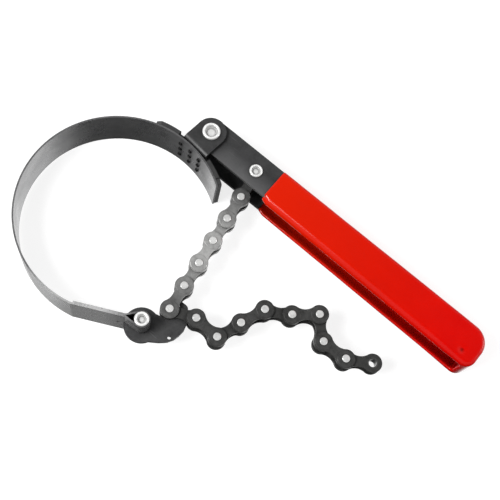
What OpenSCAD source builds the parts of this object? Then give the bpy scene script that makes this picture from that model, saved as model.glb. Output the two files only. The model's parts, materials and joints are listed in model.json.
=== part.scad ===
// Strap and roller chain oil filter wrench.
// Millimetres. +Z is the axis of the round filter, the origin is the centre
// of the strap's ring at half the strap's width, and the handle runs along +X.

/* [Strap] */
// Inside radius of the strap's ring
ring_r = 46.5; // [46.3:0.1:46.7]
// Thickness of the spring steel strap
strap_t = 0.8; // [0.7:0.05:0.9]
// Width of the strap
strap_w = 25; // [24.6:0.2:25.4]
// Angle at which the strap starts, under the clevis bracket
start_ang = 57.2; // [56:0.2:58]
// Angle at which the ring becomes the straight tail
exit_ang = 284.5; // [283:0.5:286]
// Length of the slot for the claw, measured back from the hook rivet
slot_len = 11.2; // [10:0.2:12]
// Height of the slot for the claw
slot_h = 3.0; // [2.9:0.1:3.4]

/* [Clevis bracket] */
// Thickness of the bracket's sheet
bracket_t = 2.0; // [1.8:0.1:2.1]
// Angle at which the far wing ends
wing_end_ang = 109.7; // [108:0.2:111]
// Radius of the ears round the pivot
ear_r = 7.15; // [6.8:0.05:7.4]
// Height of the ears' outer faces above the middle plane
ear_top = 12.15; // [12.1:0.05:12.3]
// Radius of the clinch buttons that hold the strap
clinch_r = 1.0; // [0.9:0.1:1.1]

/* [Handle] */
// Pivot centre, along the handle
pivot_x = 6.2; // [6:0.1:6.4]
// Pivot centre, across the handle
pivot_y = 58.5; // [58.3:0.1:58.7]
// Distance from the pivot to the rivet that holds the chain
anchor_dx = 27.8; // [27.6:0.1:28]
// Sideways place of the chain's rivet
anchor_y = 58.0; // [57.9:0.1:58.1]
// Outside height of the steel channel
channel_h = 19.8; // [19.4:0.2:20]
// Thickness of the channel's sheet
channel_t = 1.8; // [1.6:0.1:2]
// Outside of the channel's web
web_y = 66.35; // [66.2:0.05:66.5]
// Free edge of the flanges at the pivot end
edge_y0 = 50.65; // [50.5:0.05:50.8]
// Free edge of the flanges at the far end
edge_y1 = 49.4; // [49.2:0.1:49.6]
// Far end of the steel channel
end_x = 166.3; // [165:0.1:167]
// Start of the dipped grip
grip_x = 44.2; // [43:0.2:46]
// Thickness of the dipped vinyl
dip_t = 0.65; // [0.5:0.05:0.8]

/* [Hook] */
// Hook rivet centre, along X
hook_x = 40.5; // [40.4:0.1:40.6]
// Hook rivet centre, along Y
hook_y = -30.6; // [-30.7:0.1:-30.5]
// Thickness of the claw plate
claw_t = 2.6; // [2.4:0.1:2.7]

/* [Rivets] */
// Shank radius of the pivot rivet
pivot_shank_r = 2.9; // [2.7:0.05:3]
// Shank radius of the hook rivet
hook_shank_r = 3.1; // [3:0.05:3.2]
// Shank radius of the anchor rivet
anchor_shank_r = 1.8; // [1.76:0.01:1.82]

/* [Chain] */
// Pitch of the chain
pitch = 12.7; // [12.6:0.1:12.7]
// Radius of a link plate's round ends
plate_r = 4.4; // [4.2:0.05:4.5]
// Half width of a link plate's waist
waist = 2.4; // [2.3:0.1:2.7]
// Radius of the rollers
roller_r = 3.875; // [3.8:0.025:3.9]
// Outside radius of the bushes
bush_r = 2.5; // [2.4:0.05:2.5]
// Radius of the pins
pin_r = 1.78; // [1.76:0.01:1.8]

/* [Hidden] */
$fn = 96;

// pin to bush and rivet to hole running clearance
run = 0.08;
pivot = [pivot_x, pivot_y];
anchor = [pivot_x + anchor_dx, anchor_y];
hook = [hook_x, hook_y];
function unit(a) = [cos(a), sin(a)];

// Chain: direction of each link in the rest pose. The first six links run
// straight from the anchor rivet to the claw, the tail zigzags freely.
claw_seat = [45.6, -17.3];
taut_ang = atan2(claw_seat[1] - anchor[1], claw_seat[0] - anchor[0]);
link_ang = [taut_ang, taut_ang, taut_ang, taut_ang, taut_ang, taut_ang,
    21, -2.4, 71.3, 70.1, 29.5, 41.2, -43.9, 1.8, 32.4];
function joint_at(n) = n == 0 ? anchor : joint_at(n - 1) + pitch * unit(link_ang[n - 1]);
seat = joint_at(6);

// Heights in the chain, from the middle plane
inner_z0 = 1.65; inner_z1 = 2.85;
outer_z0 = 2.95; outer_z1 = 4.15;
boss = 0.2;
pin_z = 5.0;

// ---------------------------------------------------------------- strap
ring_out = ring_r + strap_t;
tail_from = ring_r * unit(exit_ang);
tail_ang = atan2(hook[1] - tail_from[1], hook[0] - tail_from[0]);
tail_len = norm(hook - tail_from);
// the two layers part this far from the rivet and close round it as a teardrop
part_s = 7.4;
eye_out = hook_shank_r + strap_t;
tear_in = asin((hook_shank_r - 0.03) / part_s);
tear_out = asin((eye_out - 0.03) / norm([part_s, strap_t])) - atan2(strap_t, part_s);
// corner of the bend between the ring and the tail, and its angle
bend_a = (exit_ang + tail_ang + 270) / 2;
bend_k = (strap_t + 0.03) / cos(bend_a - exit_ang);

module at_hook() translate([hook[0], hook[1], 0]) rotate([0, 0, tail_ang]) children();

module strap_plan() difference() {
    union() {
        difference() {
            circle(r = ring_out, $fn = 256);
            circle(r = ring_r, $fn = 256);
            polygon([[0, 0], 90 * unit(exit_ang), 90 * unit(320), 90 * unit(0), 90 * unit(30), 90 * unit(start_ang)]);
        }
        // the tail: outer layer straight on from the ring, fold-back layer on its inner side
        polygon([(ring_out - 0.2) * unit(exit_ang - 3), tail_from + bend_k * unit(bend_a),
            tail_point(-part_s, -strap_t), tail_point(-part_s + 6 * cos(tear_out), -strap_t - 6 * sin(tear_out)),
            tail_point(0, 0),
            tail_point(-part_s + 6 * cos(tear_out), strap_t + 6 * sin(tear_out)), tail_point(-part_s, strap_t),
            tail_point(-tail_len + 1.2, strap_t), tail_point(-tail_len + 1.2, 0), tail_point(-tail_len + 0.6, 0),
            (ring_r + 0.2) * unit(exit_ang - 3)]);
        translate(hook) circle(r = eye_out, $fn = 64);
    }
    // eye round the rivet
    translate(hook) circle(r = hook_shank_r, $fn = 64);
    polygon([tail_point(-part_s, 0), tail_point(-part_s + 6.6 * cos(tear_in), -6.6 * sin(tear_in)),
        tail_point(0, 0), tail_point(-part_s + 6.6 * cos(tear_in), 6.6 * sin(tear_in))]);
}

// a point given along and across the tail, from the rivet
function tail_point(x, y) = hook + [x * cos(tail_ang) - y * sin(tail_ang), x * sin(tail_ang) + y * cos(tail_ang)];

module filter_strap() color([0.23, 0.235, 0.24]) difference() {
    linear_extrude(strap_w, center = true) strap_plan();
    // slot for the claw
    at_hook() translate([-slot_len, -12, -slot_h / 2]) cube([slot_len + 10, 24, slot_h]);
    clinch_grid() cylinder(r = clinch_r + 0.03, h = 6, center = true, $fn = 32);
}

// the nine clinch points, each with +Z along its own radius at the strap's outside
module clinch_grid() for (a = [-1:1], z = [-1:1])
    rotate([0, 0, pivot_ang + 1.3 + a * 7.2]) translate([ring_out, 0, z * 6.1 + 0.2]) rotate([0, 90, 0]) children();

// ------------------------------------------------------------- bracket
pivot_ang = atan2(pivot[1], pivot[0]);
pivot_d = norm(pivot);
bend_r = 3;

module bracket_strip() difference() {
    linear_extrude(strap_w, center = true) difference() {
        circle(r = ring_out + bracket_t, $fn = 256);
        circle(r = ring_out, $fn = 256);
        polygon(concat([[0, 0]], [for (a = [wing_end_ang:(360 + start_ang - wing_end_ang) / 8:360 + start_ang + 0.01]) 90 * unit(a)]));
    }
    // relief beside and under the ears
    for (s = [-1, 1]) rotate([0, 0, pivot_ang])
        translate([ring_out - 6, -ear_r - 2.2, s > 0 ? ear_top - bend_r : -30]) cube([16, 2 * ear_r + 4.4, 30 - ear_top + bend_r]);
    // clipped corners of the wings
    for (s = [-1, 1], e = [[start_ang, 1, 0.5], [wing_end_ang, -1, 1.7]])
        rotate([0, 0, e[0]]) translate([ring_out - 3, 0, s * strap_w / 2]) rotate([e[1] * (s > 0 ? 45 : 135), 0, 0])
            translate([0, -15, -e[2]]) cube([8, 30, 20]);
    // nick across each edge near the strap's end
    for (s = [-1, 1]) rotate([0, 0, start_ang + 3.9])
        translate([ring_out - 1, -0.25, s * (strap_w / 2 + 0.5) - 1]) cube([bracket_t + 3, 0.5, 2]);
}

module channel_profile() difference() {
    union() {
        translate([bend_r, -ear_top]) square([30, 2 * ear_top]);
        translate([0, -ear_top + bend_r]) square([30, 2 * (ear_top - bend_r)]);
        for (s = [-1, 1]) translate([bend_r, s * (ear_top - bend_r)]) circle(r = bend_r, $fn = 48);
    }
    translate([bend_r, -ear_top + bracket_t]) square([40, 2 * (ear_top - bracket_t)]);
    translate([bracket_t, -ear_top + bend_r]) square([40, 2 * (ear_top - bend_r)]);
    for (s = [-1, 1]) translate([bend_r, s * (ear_top - bend_r)]) circle(r = bend_r - bracket_t, $fn = 48);
}

module clevis_bracket() color([0.10, 0.10, 0.105]) difference() {
    union() {
        difference() {
            union() {
                bracket_strip();
                rotate([0, 0, pivot_ang]) intersection() {
                    translate([ring_out, ear_r, 0]) rotate([90, 0, 0]) linear_extrude(2 * ear_r) channel_profile();
                    union() {
                        translate([ring_out - 1, -ear_r, -20]) cube([pivot_d - ring_out + 1, 2 * ear_r, 40]);
                        translate([pivot_d, 0, -20]) cylinder(r = ear_r, h = 40);
                    }
                }
            }
            cylinder(r = ring_out, h = 60, center = true, $fn = 256);
            translate([pivot[0], pivot[1], -20]) cylinder(r = pivot_shank_r, h = 40);
        }
        // buttons pushed through the strap to its inside
        clinch_grid() {
            translate([0, 0, -strap_t - 0.55]) cylinder(r = clinch_r, h = strap_t + 1.55, $fn = 32);
            translate([0, 0, -strap_t - 0.8]) cylinder(r1 = clinch_r - 0.3, r2 = clinch_r, h = 0.25, $fn = 32);
        }
    }
    // the punch's pits on the outside
    clinch_grid() translate([0, 0, 0.5]) cylinder(r = clinch_r - 0.25, h = 5, $fn = 32);
}

// A semi-tubular rivet: shank between two rolled ring heads, each with a dished recess
module tube_rivet(shank, head_r, recess_r, grip, lip, dish) {
    m = (head_r + recess_r) / 2;
    w = (head_r - recess_r) / 2;
    difference() {
        union() {
            cylinder(r = shank, h = 2 * grip + 0.2, center = true, $fn = 64);
            for (s = [-1, 1]) scale([1, 1, s]) {
                translate([0, 0, grip]) cylinder(r = head_r, h = lip - w, $fn = 64);
                translate([0, 0, grip]) rotate_extrude($fn = 64) difference() {
                    translate([m, lip - w]) circle(r = w, $fn = 32);
                    translate([0, -5]) square([20, 5]);
                }
            }
        }
        for (s = [-1, 1]) scale([1, 1, s]) {
            translate([0, 0, grip + lip - w]) cylinder(r = recess_r, h = 3 * w, $fn = 64);
            translate([0, 0, grip + lip - w - dish]) cylinder(r1 = recess_r - 0.45 * dish, r2 = recess_r, h = dish, $fn = 64);
        }
    }
}

module pivot_rivet() color([0.75, 0.76, 0.78]) translate([pivot[0], pivot[1], 0])
    tube_rivet(pivot_shank_r, 4.3, 2.75, ear_top, 1.15, 1.5);

module hook_rivet() color([0.75, 0.76, 0.78]) translate([hook[0], hook[1], 0])
    tube_rivet(hook_shank_r, 3.45, 1.95, strap_w / 2, 0.95, 1.3);

// -------------------------------------------------------------- handle
hz = channel_h / 2;

// Outline of the handle in plan, grown by o
module handle_plan(o, x0) {
    xe = end_x + o; yt = web_y + o; yb0 = edge_y0 - o; yb1 = edge_y1 - o;
    rf = 8 + o; rn = 3 + o;
    difference() {
        union() {
            polygon([[x0, yb0], [grip_x, yb0], [xe - rn, yb1], [xe - rn, yb1 + rn], [xe, yb1 + rn],
                [xe, yt - rf], [xe - rf, yt - rf], [xe - rf, yt], [x0, yt]]);
            translate([xe - rf, yt - rf]) circle(r = rf, $fn = 64);
            translate([xe - rn, yb1 + rn]) circle(r = rn, $fn = 48);
        }
    }
}

module steel_plan() {
    handle_plan(0, pivot_x);
    translate(pivot) circle(r = (web_y - edge_y0) / 2);
}

module cavity_plan(o) {
    // inside of the channel, shrunk by o, open to the chain's side
    xe = end_x - channel_t - o; yt = web_y - channel_t - o; rf = 6.2 - o;
    polygon([[-20, 30], [xe, 30], [xe, yt - rf], [xe - rf, yt - rf], [xe - rf, yt], [-20, yt]]);
    translate([xe - rf, yt - rf]) circle(r = rf, $fn = 64);
}

module handle_channel() color([0.12, 0.12, 0.125]) difference() {
    linear_extrude(channel_h, center = true) steel_plan();
    linear_extrude(channel_h - 2 * channel_t, center = true) cavity_plan(0);
    // the web starts behind the pivot
    translate([-20, 40, -hz + channel_t]) cube([20 + pivot_x + 1.5, 40, channel_h - 2 * channel_t]);
    translate([pivot[0], pivot[1], -20]) cylinder(r = pivot_shank_r + run, h = 40);
    translate([anchor[0], anchor[1], -20]) cylinder(r = anchor_shank_r, h = 40);
}

module grip_sleeve() color([0.80, 0.04, 0.02]) difference() {
    linear_extrude(channel_h + 2 * dip_t, center = true) intersection() {
        handle_plan(dip_t, grip_x - 20);
        translate([grip_x, 0]) square([200, 100]);
    }
    // room for the steel
    difference() {
        linear_extrude(channel_h, center = true) handle_plan(0, grip_x - 20);
        linear_extrude(channel_h - 2 * channel_t, center = true) cavity_plan(0);
    }
    // the skin inside the channel leaves this space
    linear_extrude(channel_h - 2 * channel_t - 2 * dip_t, center = true) cavity_plan(dip_t);
}

module anchor_rivet() color([0.75, 0.76, 0.78]) translate([anchor[0], anchor[1], 0])
    tube_rivet(anchor_shank_r, 3.2, 1.95, hz, 0.98, 1.1);

module anchor_spacers() color([0.55, 0.56, 0.58]) for (s = [-1, 1]) scale([1, 1, s])
    translate([anchor[0], anchor[1], 0]) difference() {
        translate([0, 0, inner_z1 + 0.1]) cylinder(r = 3.4, h = hz - channel_t - inner_z1 - 0.15, $fn = 64);
        cylinder(r = anchor_shank_r + 0.05, h = 20, $fn = 64);
    }

// ---------------------------------------------------------------- claw
// Outline points in the claw's own axes: the rivet is at the origin and
// the roller's seat lies on the +X axis at seat_d.
seat_d = norm(seat - hook);
seat_a = atan2(seat[1] - hook[1], seat[0] - hook[0]);
mouth_r = roller_r + 0.32;
lobe_r = 8.1;
// direction from the claw's seat towards the second roller
next_a = link_ang[6] - seat_a;
S = [seat_d, 0];

module claw_plan() difference() {
    union() {
        circle(r = lobe_r);
        polygon([[0, 0], [-4.6, -5.6],
            // the belly
            [3.2, -10.8], [6.4, -12.3], [9.6, -12.8], [12.4, -12.4], S + [1.2, -11.4], S + [4.3, -9], S + [6.6, -6],
            // the tooth, which stands between two rollers
            S + [8, -2.8], S + [7.8, -1.4], S + [6.9, 0.6], S + [6.1, 0.7], S + [4.6, -0.9], S + [3, -2],
            // the shoulder
            [11, -1.6], [9.4, -0.5], [8.75, 0.4], [4.4, 6.1]]);
    }
    translate(S) circle(r = mouth_r, $fn = 64);
    // the roller's way in, along the tooth
    translate(S) rotate(next_a + 90) translate([0, -roller_r - 0.2]) square([2.4, 2 * roller_r + 0.4]);
    translate(S + 2.4 * unit(next_a + 90)) circle(r = roller_r + 0.2, $fn = 64);
    // room for the second roller
    translate(S + pitch * unit(next_a)) circle(r = mouth_r, $fn = 64);
    circle(r = hook_shank_r + run);
    translate([8.1, -11.05]) circle(r = 0.85, $fn = 32);
}

module chain_hook() color([0.17, 0.17, 0.175]) translate([hook[0], hook[1], 0]) rotate([0, 0, seat_a])
    linear_extrude(claw_t, center = true) claw_plan();

// --------------------------------------------------------------- chain
module link_frame(n) translate([joint_at(n - 1)[0], joint_at(n - 1)[1], 0]) rotate([0, 0, link_ang[n - 1]]) children();

// Waist arcs run into the round ends
waist_r = (pitch * pitch / 4 + waist * waist - plate_r * plate_r) / (2 * (plate_r - waist));
waist_k = (plate_r + 1.2) / (waist_r + plate_r);

module plate_plan() difference() {
    union() {
        for (x = [0, pitch]) translate([x, 0]) circle(r = plate_r, $fn = 64);
        polygon([[0, 0],
            [pitch / 2 * waist_k, -(waist + waist_r) * waist_k], [pitch * (1 - waist_k / 2), -(waist + waist_r) * waist_k],
            [pitch, 0],
            [pitch * (1 - waist_k / 2), (waist + waist_r) * waist_k], [pitch / 2 * waist_k, (waist + waist_r) * waist_k]]);
    }
    for (s = [-1, 1]) translate([pitch / 2, s * (waist + waist_r)]) circle(r = waist_r + 0.03, $fn = 128);
}

// A pair of plates, with a stamped boss of height rise at each round end's outside
module plates(n, hole, z0, z1, rise = 0) color([0.36, 0.36, 0.36]) link_frame(n)
    for (s = [-1, 1]) scale([1, 1, s]) difference() {
        union() {
            translate([0, 0, z0]) linear_extrude(z1 - z0) plate_plan();
            if (rise > 0) for (x = [0, pitch]) translate([x, 0, 0]) rotate_extrude($fn = 64)
                polygon([[0, z0 + 0.3], [plate_r - 0.45, z0 + 0.3], [plate_r - 0.45, z1 + 0.4 * rise], [plate_r - 0.6, z1 + rise], [0, z1 + rise]]);
        }
        for (x = [0, pitch]) translate([x, 0, 0]) cylinder(r = hole, h = 20, $fn = 64);
    }
module inner_plates(n) plates(n, bush_r, inner_z0, inner_z1);
module outer_plates(n) plates(n, pin_r, outer_z0, outer_z1, boss);
module bushes(n) color([0.5, 0.5, 0.5]) link_frame(n) for (x = [0, pitch]) translate([x, 0, -inner_z1]) difference() {
    cylinder(r = bush_r, h = 2 * inner_z1, $fn = 64);
    translate([0, 0, -1]) cylinder(r = pin_r + 0.07, h = 10, $fn = 64);
}
module pins(n) color([0.7, 0.7, 0.7]) link_frame(n) for (x = [0, pitch]) translate([x, 0, 0]) {
    cylinder(r = pin_r, h = 2 * (pin_z - 0.2), center = true, $fn = 64);
    for (s = [-1, 1]) scale([1, 1, s]) translate([0, 0, pin_z - 0.2]) cylinder(r1 = pin_r, r2 = pin_r - 0.25, h = 0.2, $fn = 64);
}
module roller(n) color([0.3, 0.3, 0.3]) translate([joint_at(n)[0], joint_at(n)[1], -1.6]) difference() {
    cylinder(r = roller_r, h = 3.2, $fn = 64);
    translate([0, 0, -1]) cylinder(r = bush_r + 0.06, h = 10, $fn = 64);
}

filter_strap();
clevis_bracket();
pivot_rivet();
hook_rivet();
handle_channel();
grip_sleeve();
anchor_rivet();
anchor_spacers();
chain_hook();
inner_plates(1);  // link_01_inner_plates
bushes(1);  // link_01_bushes
outer_plates(2);  // link_02_outer_plates
pins(2);  // link_02_pins
inner_plates(3);  // link_03_inner_plates
bushes(3);  // link_03_bushes
outer_plates(4);  // link_04_outer_plates
pins(4);  // link_04_pins
inner_plates(5);  // link_05_inner_plates
bushes(5);  // link_05_bushes
outer_plates(6);  // link_06_outer_plates
pins(6);  // link_06_pins
inner_plates(7);  // link_07_inner_plates
bushes(7);  // link_07_bushes
outer_plates(8);  // link_08_outer_plates
pins(8);  // link_08_pins
inner_plates(9);  // link_09_inner_plates
bushes(9);  // link_09_bushes
outer_plates(10);  // link_10_outer_plates
pins(10);  // link_10_pins
inner_plates(11);  // link_11_inner_plates
bushes(11);  // link_11_bushes
outer_plates(12);  // link_12_outer_plates
pins(12);  // link_12_pins
inner_plates(13);  // link_13_inner_plates
bushes(13);  // link_13_bushes
outer_plates(14);  // link_14_outer_plates
pins(14);  // link_14_pins
inner_plates(15);  // link_15_inner_plates
bushes(15);  // link_15_bushes
roller(0);  // roller_00
roller(1);  // roller_01
roller(2);  // roller_02
roller(3);  // roller_03
roller(4);  // roller_04
roller(5);  // roller_05
roller(6);  // roller_06
roller(7);  // roller_07
roller(8);  // roller_08
roller(9);  // roller_09
roller(10);  // roller_10
roller(11);  // roller_11
roller(12);  // roller_12
roller(13);  // roller_13
roller(14);  // roller_14
roller(15);  // roller_15
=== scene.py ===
import json
import math

import bmesh
import bpy
import numpy as np
from mathutils import Matrix, Vector


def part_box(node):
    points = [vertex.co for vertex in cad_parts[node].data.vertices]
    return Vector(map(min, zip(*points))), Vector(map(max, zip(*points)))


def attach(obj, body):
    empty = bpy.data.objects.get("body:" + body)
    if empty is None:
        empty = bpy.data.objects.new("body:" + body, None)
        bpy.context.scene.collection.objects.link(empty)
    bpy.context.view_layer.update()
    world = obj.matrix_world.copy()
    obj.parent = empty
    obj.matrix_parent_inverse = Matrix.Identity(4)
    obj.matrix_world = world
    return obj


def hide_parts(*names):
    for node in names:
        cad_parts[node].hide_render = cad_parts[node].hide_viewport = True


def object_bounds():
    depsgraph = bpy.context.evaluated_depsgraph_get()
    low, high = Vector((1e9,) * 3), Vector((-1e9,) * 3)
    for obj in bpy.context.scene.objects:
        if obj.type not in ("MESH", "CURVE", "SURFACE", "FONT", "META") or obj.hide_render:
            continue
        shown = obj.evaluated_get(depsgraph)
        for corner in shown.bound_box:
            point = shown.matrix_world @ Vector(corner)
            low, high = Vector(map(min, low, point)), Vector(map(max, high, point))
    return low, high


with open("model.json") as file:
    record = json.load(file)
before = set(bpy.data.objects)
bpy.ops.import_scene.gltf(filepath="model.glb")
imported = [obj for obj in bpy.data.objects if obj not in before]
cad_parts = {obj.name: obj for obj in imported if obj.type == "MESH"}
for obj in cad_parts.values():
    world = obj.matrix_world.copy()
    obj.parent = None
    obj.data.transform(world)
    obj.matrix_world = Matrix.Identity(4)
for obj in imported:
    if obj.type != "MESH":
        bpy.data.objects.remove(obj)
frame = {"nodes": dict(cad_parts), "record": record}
cad_lo, cad_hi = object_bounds()
nodes = frame["nodes"]
scene = bpy.context.scene
MM = 0.001
SKY, SKY_TOP, BELOW = 0.62, 0.10, 1.35        # the studio's light round about, straight overhead and below behind

# ------------------------------------------------------------------ camera
cam_data = bpy.data.cameras.new("camera")
cam_data.lens = 74.283
cam_data.sensor_width = 36.0
cam_data.clip_start, cam_data.clip_end = 0.01, 20.0
cam = bpy.data.objects.new("camera", cam_data)
scene.collection.objects.link(cam)
R = Vector((0.77071, 0.62761, 0.11003))
U = Vector((-0.62875, 0.72106, 0.29113))
F = Vector((-0.10338, 0.29356, -0.95034))
m = Matrix((R, U, -F)).transposed().to_4x4()
m.translation = Vector((0.10488, -0.11187, 0.45706))
cam.matrix_world = m
scene.camera = cam
scene.view_settings.view_transform = "Standard"
scene.view_settings.look = "None"
scene.view_settings.exposure = 0.0


# --------------------------------------------------------------- materials
class Mat:
    """A node material being built: self.p is its Principled shader."""

    def __init__(self, name, **values):
        self.m = bpy.data.materials.new(name)
        self.m.use_nodes = True
        self.t = self.m.node_tree
        self.t.nodes.clear()
        self.out = self.t.nodes.new("ShaderNodeOutputMaterial")
        self.p = self.t.nodes.new("ShaderNodeBsdfPrincipled")
        self.t.links.new(self.p.outputs[0], self.out.inputs["Surface"])
        self.coord = self.t.nodes.new("ShaderNodeTexCoord").outputs["Object"]
        for k, v in values.items():
            self.p.inputs[k.replace("_", " ")].default_value = v

    def node(self, kind, inputs=(), **props):
        n = self.t.nodes.new(kind)
        for k, v in props.items():
            setattr(n, k, v)
        for k, v in dict(inputs).items():
            if isinstance(v, bpy.types.NodeSocket):
                self.t.links.new(v, n.inputs[k])
            else:
                n.inputs[k].default_value = v
        return n

    def mapping(self, scale=(1, 1, 1), rot=(0, 0, 0), loc=(0, 0, 0), vector=None):
        return self.node("ShaderNodeMapping", {"Vector": vector or self.coord, "Scale": scale, "Rotation": rot, "Location": loc}).outputs[0]

    def noise(self, size_mm, detail=4, rough=0.55, vector=None, distortion=0.0):
        return self.node("ShaderNodeTexNoise", {"Vector": vector or self.coord, "Scale": 1000.0 / size_mm, "Detail": detail, "Roughness": rough, "Distortion": distortion}).outputs["Fac"]

    def voronoi(self, size_mm, feature="F1", vector=None, out="Distance"):
        return self.node("ShaderNodeTexVoronoi", {"Vector": vector or self.coord, "Scale": 1000.0 / size_mm}, feature=feature).outputs[out]

    def ramp(self, fac, stops):
        n = self.node("ShaderNodeValToRGB", {"Fac": fac})
        e = n.color_ramp.elements
        while len(e) > 1:
            e.remove(e[-1])
        for i, (pos, col) in enumerate(stops):
            col = (col, col, col, 1) if isinstance(col, (int, float)) else (*col, 1)
            if i == 0:
                e[0].position, e[0].color = pos, col
            else:
                x = e.new(pos)
                x.color = col
        return n.outputs[0]

    def math(self, op, a, b=0.0, clamp=False):
        n = self.t.nodes.new("ShaderNodeMath")
        n.operation, n.use_clamp = op, clamp
        for i, v in enumerate((a, b)):
            if isinstance(v, bpy.types.NodeSocket):
                self.t.links.new(v, n.inputs[i])
            else:
                n.inputs[i].default_value = v
        return n.outputs[0]

    def span(self, fac, lo, hi, a=0.0, b=1.0):
        return self.node("ShaderNodeMapRange", {"Value": fac, "From Min": a, "From Max": b, "To Min": lo, "To Max": hi}).outputs[0]

    def mix(self, fac, a, b, mode="MIX"):
        n = self.t.nodes.new("ShaderNodeMix")
        n.data_type, n.blend_type = "RGBA", mode
        for sock, v in ((n.inputs[0], fac), (n.inputs[6], a), (n.inputs[7], b)):
            if isinstance(v, bpy.types.NodeSocket):
                self.t.links.new(v, sock)
            else:
                sock.default_value = v if isinstance(v, (int, float)) else (*v, 1)
        return n.outputs[2]

    def set(self, **sockets):
        for k, v in sockets.items():
            self.t.links.new(v, self.p.inputs[k.replace("_", " ")])

    def bump(self, height, strength, dist_mm, normal=None):
        ins = {"Height": height, "Strength": strength, "Distance": dist_mm * MM}
        if normal is not None:
            ins["Normal"] = normal
        n = self.node("ShaderNodeBump", ins)
        self.t.links.new(n.outputs[0], self.p.inputs["Normal"])
        return n.outputs[0]

    def paint_hollow_shade(self, col, reach_mm, depth, floor=0.0, top=0.95):
        """Paints shade into a colour: darker in corners and hollows, as ambient occlusion finds them."""
        n = self.node("ShaderNodeAmbientOcclusion", {"Distance": reach_mm * MM}, samples=6)
        k = self.span(n.outputs["AO"], depth, 1.0, floor, top)
        return self.mix(1.0, col, self.node("ShaderNodeCombineColor", {0: k, 1: k, 2: k}).outputs[0], "MULTIPLY")

    def axis(self, i):
        return self.node("ShaderNodeSeparateXYZ", {"Vector": self.coord}).outputs[i]


def oxide_steel(name, dark, light, rough, metallic=0.5, scratch=0.25, grain=None, painted_light_edge=None):
    """Black oxide or blued sheet steel: mottled, with rolling lines, rubbed patches and a few scratches."""
    a = Mat(name, Metallic=metallic, Specular_IOR_Level=0.5)
    mottled = a.noise(9.0, 6, 0.62)
    fine = a.noise(0.9, 5, 0.6)
    rubbed = a.ramp(a.noise(16.0, 5, 0.6, distortion=0.4), [(0.38, 0.0), (0.72, 1.0)])
    t = a.math("ADD", a.math("MULTIPLY", mottled, 0.7), a.math("MULTIPLY", fine, 0.3))
    col = a.mix(a.span(t, 0.0, 1.0, 0.34, 0.66), dark, light)
    lines = a.noise(1.1, 3, 0.5, a.mapping(grain or (0.05, 1.0, 2.5), rot=(0, 0, 0.0 if grain else 0.5)))
    scr = a.ramp(a.noise(2.2, 2, 0.5, a.mapping((0.12, 1.6, 1.6), rot=(0.3, 0.2, 1.1)), distortion=0.2), [(0.67, 0.0), (0.71, 1.0)])
    scr = a.math("MULTIPLY", scr, scratch)
    col = a.mix(scr, col, tuple(min(1.0, c * 2.4) for c in light))
    dust = a.ramp(a.noise(1.5, 4, 0.7), [(0.60, 0.0), (0.78, 1.0)])
    col = a.mix(a.math("MULTIPLY", dust, 0.12), col, tuple(min(1.0, c * 1.9) for c in light))
    if painted_light_edge:  # painted light: the face is painted paler towards the free edge (a span in Y)
        col = a.mix(a.span(a.axis(1), 0.75, 0.0, *painted_light_edge), col, tuple(min(1.0, c * 3.0) for c in light))
    if name == "black_bracket":  # painted shade: the buttons inside the ring are painted near black
        xyz = a.node("ShaderNodeVectorMath", {0: a.coord, 1: (1, 1, 0)}, operation="MULTIPLY").outputs[0]
        far = a.node("ShaderNodeVectorMath", {0: xyz}, operation="LENGTH").outputs["Value"]
        col = a.mix(a.math("LESS_THAN", far, 0.0472), col, (0.006, 0.006, 0.006))
    if name == "blued_strap":  # painted light: the strap is painted paler round the tail's bend
        off = a.node("ShaderNodeVectorMath", {0: a.node("ShaderNodeVectorMath", {0: a.coord, 1: (0.014, -0.044, 0.0)}, operation="SUBTRACT").outputs[0], 1: (1, 1, 0)}, operation="MULTIPLY").outputs[0]
        near = a.node("ShaderNodeVectorMath", {0: off}, operation="LENGTH").outputs["Value"]
        col = a.mix(a.span(near, 0.85, 0.0, 0.012, 0.028), col, (0.85, 0.85, 0.85))
    # painted shade: the channel darkens deep inside, the other parts in their tight corners and hollows
    if name == "black_channel":
        col = a.paint_hollow_shade(col, 14.0, 0.04, 0.35)
    else:
        col = a.paint_hollow_shade(col, 4.0, 0.25, 0.30)
    a.set(Base_Color=col)
    r = a.math("ADD", a.span(rubbed, rough + 0.06, rough - 0.06), a.span(fine, -0.05, 0.05, 0.3, 0.7))
    a.set(Roughness=a.math("SUBTRACT", r, a.math("MULTIPLY", scr, 0.2)))
    h = a.math("ADD", a.math("MULTIPLY", fine, 0.6), a.math("MULTIPLY", lines, 0.4))
    a.bump(h, 0.30, 0.03)
    return a.m


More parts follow.
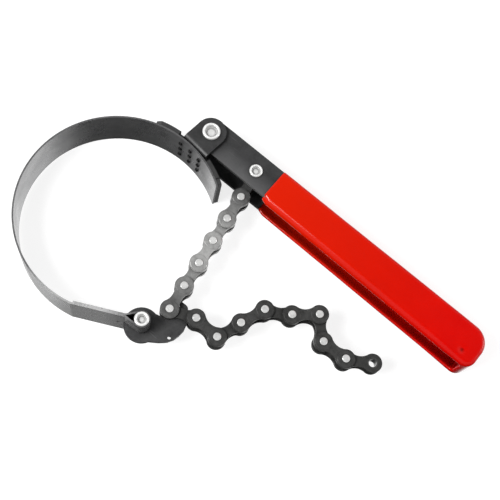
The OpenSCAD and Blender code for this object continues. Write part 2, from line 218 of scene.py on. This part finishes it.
def bare_steel(name, dark, light, rough, metallic=1.0, scale=1.0, pits=0.25):
    """Bare, oiled or plated steel: metallic, with stains, fine grain and small dents."""
    a = Mat(name, Metallic=metallic, Specular_IOR_Level=0.5)
    stains = a.noise(3.2 * scale, 6, 0.65, distortion=0.3)
    grain = a.noise(0.35, 4, 0.6)
    col = a.mix(a.span(stains, 0.0, 1.0, 0.32, 0.68), dark, light)
    col = a.mix(a.math("MULTIPLY", a.ramp(grain, [(0.55, 0.0), (0.75, 1.0)]), pits), col, dark)
    if name == "bright_rivet":
        # painted shade: the rolled rim's slopes are painted darker than its crown and the seat of the dish, and the
        # dish's hollows darker still
        up = a.node("ShaderNodeSeparateXYZ", {"Vector": a.node("ShaderNodeTexCoord").outputs["Normal"]}).outputs[2]
        col = a.mix(a.span(a.math("ABSOLUTE", up), 0.80, 0.0, 0.70, 0.96), col, (0.36, 0.36, 0.355))
        col = a.paint_hollow_shade(col, 1.0, 0.12, 0.42)
    if "rubbed" in name:  # the middle of the taut run is paler in a round pool, partly wear and partly painted light
        off = a.node("ShaderNodeVectorMath", {0: a.node("ShaderNodeVectorMath", {0: a.coord, 1: (0.0405, 0.0165, 0.0)}, operation="SUBTRACT").outputs[0], 1: (1, 1, 0)}, operation="MULTIPLY").outputs[0]
        near = a.node("ShaderNodeVectorMath", {0: off}, operation="LENGTH").outputs["Value"]
        k = a.math("MULTIPLY", a.span(near, 1.0, 0.08, 0.006, 0.031), a.span(stains, 0.55, 1.0, 0.35, 0.65))
        col = a.mix(k, col, (0.62, 0.62, 0.61))
    # painted shade round the bosses and between the links
    if "plate" in name or "rubbed" in name:
        col = a.paint_hollow_shade(col, 2.0, 0.25, 0.30)
    a.set(Base_Color=col)
    a.set(Roughness=a.math("ADD", a.span(stains, rough + 0.08, rough - 0.06, 0.3, 0.7), a.span(grain, -0.04, 0.04, 0.3, 0.7)))
    dents = a.ramp(a.noise(0.8, 2, 0.4), [(0.25, 0.0), (0.42, 1.0)])
    h = a.math("ADD", a.math("MULTIPLY", grain, 0.5), a.math("MULTIPLY", dents, 0.5))
    a.bump(h, 0.22, 0.025)
    return a.m


M = {}
M["blued_strap"] = oxide_steel("blued_strap", (0.15, 0.15, 0.153), (0.24, 0.24, 0.243), 0.28, metallic=0.7, scratch=0.15, grain=(1.0, 1.0, 9.0))
M["black_bracket"] = oxide_steel("black_bracket", (0.030, 0.030, 0.030), (0.058, 0.058, 0.059), 0.42, metallic=0.4, scratch=0.2)
M["black_channel"] = oxide_steel("black_channel", (0.034, 0.034, 0.035), (0.062, 0.062, 0.063), 0.42, metallic=0.4, scratch=0.2, painted_light_edge=(0.0470, 0.060))
M["black_claw"] = oxide_steel("black_claw", (0.040, 0.040, 0.041), (0.075, 0.075, 0.076), 0.42, metallic=0.5, scratch=0.25)
M["worn_edge"] = bare_steel("worn_edge", (0.16, 0.16, 0.16), (0.38, 0.38, 0.375), 0.38, metallic=0.7)
M["bright_rivet"] = bare_steel("bright_rivet", (0.88, 0.88, 0.87), (0.98, 0.98, 0.97), 0.22, metallic=0.3, pits=0.12)
M["spacer_steel"] = bare_steel("spacer_steel", (0.16, 0.16, 0.16), (0.34, 0.34, 0.34), 0.35)
M["inner_plate_steel"] = bare_steel("inner_plate_steel", (0.030, 0.030, 0.029), (0.075, 0.075, 0.073), 0.42, metallic=0.6)
M["outer_plate_steel"] = bare_steel("outer_plate_steel", (0.036, 0.036, 0.035), (0.095, 0.095, 0.093), 0.40, metallic=0.6)
# paler copies of the plate steels for the taut run: partly wear, partly painted light
M["rubbed_and_lit_inner"] = bare_steel("rubbed_and_lit_inner", (0.050, 0.050, 0.049), (0.12, 0.12, 0.118), 0.38, metallic=0.6)
M["rubbed_and_lit_outer"] = bare_steel("rubbed_and_lit_outer", (0.060, 0.060, 0.059), (0.15, 0.15, 0.148), 0.36, metallic=0.6)
M["pin_steel"] = bare_steel("pin_steel", (0.50, 0.50, 0.495), (0.80, 0.80, 0.79), 0.30, metallic=0.3)
M["bush_steel"] = bare_steel("bush_steel", (0.10, 0.10, 0.098), (0.28, 0.28, 0.275), 0.34)
M["roller_steel"] = bare_steel("roller_steel", (0.030, 0.030, 0.030), (0.095, 0.095, 0.093), 0.34, metallic=0.8)


def red_vinyl():
    a = Mat("red_vinyl", Metallic=0.0, Specular_IOR_Level=0.24, Coat_Weight=0.0)
    cloud = a.noise(22.0, 4, 0.55)
    fine = a.noise(1.6, 3, 0.5)
    col = a.mix(a.span(cloud, 0.0, 1.0, 0.3, 0.7), (0.53, 0.0010, 0.0002), (0.61, 0.0020, 0.0003))
    col = a.mix(a.span(a.axis(0), 0.75, 0.0, 0.05, 0.15), col, (0.62, 0.014, 0.0003))
    scuff = a.ramp(a.noise(5.0, 6, 0.7, a.mapping((0.35, 1.4, 1.4))), [(0.62, 0.0), (0.80, 1.0)])
    col = a.mix(a.math("MULTIPLY", scuff, 0.22), col, (0.42, 0.006, 0.002))
    # painted shade: a dark spot painted in the dimple near the far end
    off = a.node("ShaderNodeVectorMath", {0: a.coord, 1: (0.1590, 0.0530, 0.0)}, operation="SUBTRACT").outputs[0]
    off = a.node("ShaderNodeVectorMath", {0: off, 1: (1, 1, 0)}, operation="MULTIPLY").outputs[0]
    dimple_shade = a.node("ShaderNodeVectorMath", {0: off}, operation="LENGTH").outputs["Value"]
    col = a.mix(a.span(dimple_shade, 0.75, 0.0, 0.0004, 0.0013), col, (0.16, 0.002, 0.001))
    # painted shade: darker deep inside the channel's hollow and in its corners
    a.set(Base_Color=a.paint_hollow_shade(col, 30.0, 0.05, 0.16, 0.62))
    a.set(Roughness=a.math("ADD", a.span(scuff, 0.17, 0.31), a.span(fine, -0.03, 0.03, 0.3, 0.7)))
    h = a.math("ADD", a.math("MULTIPLY", a.noise(9.0, 3, 0.5), 1.0), a.math("MULTIPLY", fine, 0.12))
    a.bump(h, 0.30, 0.12)
    return a.m


M["red_vinyl"] = red_vinyl()

slots = {s["node"]: s["material_slot"] for s in frame["record"]["subparts"]}


def bevel(obj, width_mm, segments=2, edge_mat=None, angle=30):
    b = obj.modifiers.new("edge", "BEVEL")
    b.width = width_mm * MM
    b.segments = segments
    b.limit_method = "ANGLE"
    b.angle_limit = math.radians(angle)
    b.use_clamp_overlap = True
    b.harden_normals = False
    if edge_mat is not None:
        obj.data.materials.append(edge_mat)
        b.material = len(obj.data.materials) - 1


BEVEL = {"filter_strap": (0.12, 2), "clevis_bracket": (0.35, 2), "handle_channel": (0.85, 5), "chain_hook": (0.3, 2)}
for name, obj in nodes.items():
    obj.data.materials.clear()
    # the taut run's links take the paler plate steels: partly wear, partly painted light
    taut = name[:7] in ("link_01", "link_02", "link_03", "link_04", "link_05", "link_06")
    rubbed = {"inner_plate_steel": "rubbed_and_lit_inner", "outer_plate_steel": "rubbed_and_lit_outer"} if taut else {}
    obj.data.materials.append(M[rubbed.get(slots[name], slots[name])])
    if name in BEVEL:
        w, seg = BEVEL[name]
        bevel(obj, w, seg, M["worn_edge"] if name != "clevis_bracket" else None)
    elif "plates" in name:
        bevel(obj, 0.18, 2)


# --------------------------------------------------------------- the grip
def surface_nets(f, lo, hi, h):
    """A closed quad mesh of f(x, y, z) = 0 by surface nets, with its vertices brought onto the surface."""
    ax = [np.arange(lo[i], hi[i] + h, h) for i in range(3)]
    X, Y, Z = np.meshgrid(*ax, indexing="ij")
    V = f(X, Y, Z)
    inside = V < 0
    n = [len(a) - 1 for a in ax]
    acc = np.zeros((n[0], n[1], n[2], 3))
    cnt = np.zeros(n)
    corners = [(i, j, k) for i in (0, 1) for j in (0, 1) for k in (0, 1)]

    def sub(A, c):
        return A[c[0]:c[0] + n[0], c[1]:c[1] + n[1], c[2]:c[2] + n[2]]

    for a in corners:
        for ax_i in range(3):
            if a[ax_i] == 1:
                continue
            b = list(a)
            b[ax_i] = 1
            va, vb = sub(V, a), sub(V, b)
            cross = sub(inside, a) != sub(inside, b)
            t = np.where(cross, va / np.where(cross, va - vb, 1), 0)
            for d in range(3):
                acc[..., d] += np.where(cross, a[d] + (t if d == ax_i else 0), 0)
            cnt += cross
    idx = -np.ones(n, int)
    cells = np.argwhere(cnt > 0)
    idx[tuple(cells.T)] = np.arange(len(cells))
    P = acc[tuple(cells.T)] / cnt[tuple(cells.T)][:, None]
    P = (P + cells) * h + np.array([ax[0][0], ax[1][0], ax[2][0]])
    faces = []
    for d in range(3):
        u, v = (d + 1) % 3, (d + 2) % 3
        s0 = [slice(1, -1)] * 3
        s0[d] = slice(0, -1)
        s1 = [slice(1, -1)] * 3
        s1[d] = slice(1, None)
        i0, i1 = inside[tuple(s0)], inside[tuple(s1)]
        e = np.argwhere(i0 != i1)
        if not len(e):
            continue
        flip = i0[tuple(e.T)]
        base = e.copy()
        base[:, u] += 1
        base[:, v] += 1
        quad = []
        for du, dv in ((0, 0), (-1, 0), (-1, -1), (0, -1)):
            c = base.copy()
            c[:, u] += du
            c[:, v] += dv
            quad.append(idx[tuple(c.T)])
        q = np.stack(quad, 1)
        q[~flip] = q[~flip][:, ::-1]
        faces.append(q)
    F_ = np.concatenate(faces)
    for _ in range(4):  # onto the surface
        e = 1e-3 * h
        x, y, z = P.T
        v0 = f(x, y, z)
        g = np.stack([(f(x + e, y, z) - v0) / e, (f(x, y + e, z) - v0) / e, (f(x, y, z + e) - v0) / e], 1)
        step = (v0 / np.maximum((g ** 2).sum(1), 1e-9))[:, None] * g
        ln = np.linalg.norm(step, axis=1, keepdims=True)
        step *= np.minimum(1, 0.4 * h / np.maximum(ln, 1e-12))
        P = P - step
    return P, F_


def mesh_object(name, P, faces, mat, smooth=True):
    me = bpy.data.meshes.new(name)
    me.from_pydata([tuple(p) for p in P], [], [tuple(int(i) for i in f) for f in faces])
    me.validate()
    me.materials.append(mat)
    if smooth:
        me.polygons.foreach_set("use_smooth", [True] * len(me.polygons))
    me.update()
    o = bpy.data.objects.new(name, me)
    scene.collection.objects.link(o)
    return o


glo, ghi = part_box("grip_sleeve")
clo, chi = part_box("handle_channel")
DIP = (ghi.x - chi.x) / MM           # thickness of the vinyl outside the steel
HZ = ghi.z / MM                      # half height outside
XE = ghi.x / MM                      # far end
YT = ghi.y / MM                      # outside of the web
GX = glo.x / MM                      # where the dip starts
YB1 = glo.y / MM                     # free edge at the far end
YB0 = YB1 + 1.25                     # free edge at the dip's start
SHEET = 1.8 + 2 * DIP                # steel and both skins


def smax(a, b, k):
    h = np.maximum(k - np.abs(a - b), 0) / k
    return np.maximum(a, b) + h * h * k * 0.25


def rounded_and(a, b, r):
    """Intersection of two half spaces' distances with an edge of radius r."""
    return np.minimum(np.maximum(a, b), -r) + np.hypot(np.maximum(a + r, 0), np.maximum(b + r, 0))


def ease(t):
    t = np.clip(t, 0, 1)
    return t * t * (3 - 2 * t)


def plan_distance(x, y, rf, rn):
    """Distance to the grip's outline in plan, swollen along the free edge and at the end; and the free edge's y."""
    yb = YB0 + (YB1 - YB0) * np.clip((x - GX) / (XE - 3 - GX), 0, 1.02) - 1.1 * ease((x - GX + 1) / 5)
    xe = XE + 0.4
    top, bot, end = y - YT, yb - y, x - xe
    a = rounded_and(end, top, rf)
    b = rounded_and(end, bot, rn)
    return np.maximum(np.maximum(a, b), np.maximum(top, bot)), yb


def grip_sdf(x, y, z):
    az = np.abs(z)
    far = ease((x - (XE - 24)) / 20)          # 1 towards the far end
    plan, yb = plan_distance(x, y, 9.2, 5.2)
    edge = ease(1 - (y - yb) / 9)             # 1 towards the free edge
    r = 1.9 + np.maximum(1.5 * edge * (1 - 0.6 * far), 0.3 * far)
    body = rounded_and(plan, az - HZ, r)
    # the space inside the channel, open to the chain's side; the skin sags into a bead along the free edges
    bead = 1.0 * ease(1 - (y - yb) / 5)
    inner_plan = rounded_and(x - (XE - SHEET - 0.5 - 0.8 * edge), y - (YT - SHEET), 5.2)
    cavity = rounded_and(inner_plan, az - (HZ - SHEET - bead), 1.6)
    d = rounded_and(body, -cavity, 1.0)
    # a dimple over a hole in each flange's end
    hole = np.hypot(x - (XE - 8.0), y - (YB1 + 4.4))
    d = d + 0.35 * ease(1 - hole / 2.6) * (az > HZ - 3)
    # rim where the dip starts
    skin = rounded_and(d, (GX + 0.15) - x, 0.6)
    wav = 0.10 * np.sin(x * 0.11 + 1.3) * np.sin(y * 0.25 + z * 0.12) + 0.05 * np.sin(x * 0.31 + z * 0.2)
    return skin + wav * 0.25


P, Fq = surface_nets(grip_sdf, (GX - 1, YB1 - 2.6, -HZ - 1), (XE + 1.6, YT + 1.5, HZ + 1), 0.5)
grip = mesh_object("dipped_grip", P * MM, Fq, M["red_vinyl"])
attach(grip, "handle")
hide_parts("grip_sleeve")

# ------------------------------------------------------------- the studio
floor_z = cad_lo.z
bpy.ops.mesh.primitive_plane_add(size=6.0, location=(0.05, 0.0, floor_z - 0.00005))
floor = bpy.context.object
floor.name = "floor"
a = Mat("floor_white", Roughness=0.8, Specular_IOR_Level=0.1)
a.set(Base_Color=a.mix(a.noise(180.0, 2, 0.5), (0.30, 0.30, 0.30), (0.32, 0.32, 0.32)))
a.p.inputs["Emission Color"].default_value = (1, 1, 1, 1)
a.p.inputs["Emission Strength"].default_value = 0.80
a.bump(a.noise(0.8, 3, 0.5), 0.05, 0.02)
floor.data.materials.append(a.m)
floor.visible_glossy = False
floor.visible_diffuse = False

# The studio round the tool: dim straight overhead, bright round about; below the table's edge bright behind and dark in front
world = bpy.data.worlds.new("studio")
scene.world = world
world.use_nodes = True
wt = world.node_tree
bg = wt.nodes["Background"]
way = wt.nodes.new("ShaderNodeTexCoord").outputs["Generated"]


def world_node(kind, inputs=(), **props):
    n = wt.nodes.new(kind)
    for k, v in props.items():
        setattr(n, k, v)
    for k, v in dict(inputs).items():
        if isinstance(v, bpy.types.NodeSocket):
            wt.links.new(v, n.inputs[k])
        else:
            n.inputs[k].default_value = v
    return n


height = world_node("ShaderNodeSeparateXYZ", {0: way}).outputs[2]
up = world_node("ShaderNodeValToRGB", {0: height})
e = up.color_ramp.elements
e[0].position, e[0].color = 0.0, (0.45, 0.45, 0.45, 1)
e[1].position, e[1].color = 1.0, (SKY_TOP, SKY_TOP, SKY_TOP, 1)
for z, v in ((0.10, 0.5), (0.30, SKY), (0.80, SKY), (0.94, SKY_TOP)):
    x = e.new(z)
    x.color = (v, v, v, 1)
back = world_node("ShaderNodeVectorMath", {0: way, 1: (-0.3305, 0.9438, 0.0)}, operation="DOT_PRODUCT").outputs["Value"]
down = world_node("ShaderNodeMapRange", {"Value": back, "From Min": -0.26, "From Max": 0.12, "To Min": 0.04, "To Max": BELOW}, interpolation_type="SMOOTHSTEP").outputs[0]
above = world_node("ShaderNodeMapRange", {"Value": height, "From Min": -0.06, "From Max": 0.06}).outputs[0]
pick = world_node("ShaderNodeMix", {0: above}, data_type="RGBA")
wt.links.new(down, pick.inputs[6])
wt.links.new(up.outputs[0], pick.inputs[7])
wt.links.new(pick.outputs[2], bg.inputs[0])
bg.inputs[1].default_value = 1.0


def area(name, direction, dist, size, power, color=(1, 1, 1)):
    L = bpy.data.lights.new(name, "AREA")
    L.shape, L.size, L.size_y = "RECTANGLE", size[0], size[1]
    L.energy, L.color = power, color
    o = bpy.data.objects.new(name, L)
    scene.collection.objects.link(o)
    d = Vector(direction).normalized()
    o.location = Vector((0.06, 0.01, 0.0)) + d * dist
    o.rotation_mode = "QUATERNION"
    o.rotation_quaternion = (-d).to_track_quat("-Z", "Y")
    return o


area("key", (-0.32, -0.46, 0.83), 0.85, (0.30, 0.24), 6.0)
area("side_right", (0.775 * 0.93, 0.632 * 0.93, 0.37), 0.9, (0.40, 0.30), 2.0)
area("side_left", (-0.775 * 0.93, -0.632 * 0.93, 0.37), 0.9, (0.40, 0.30), 2.0)
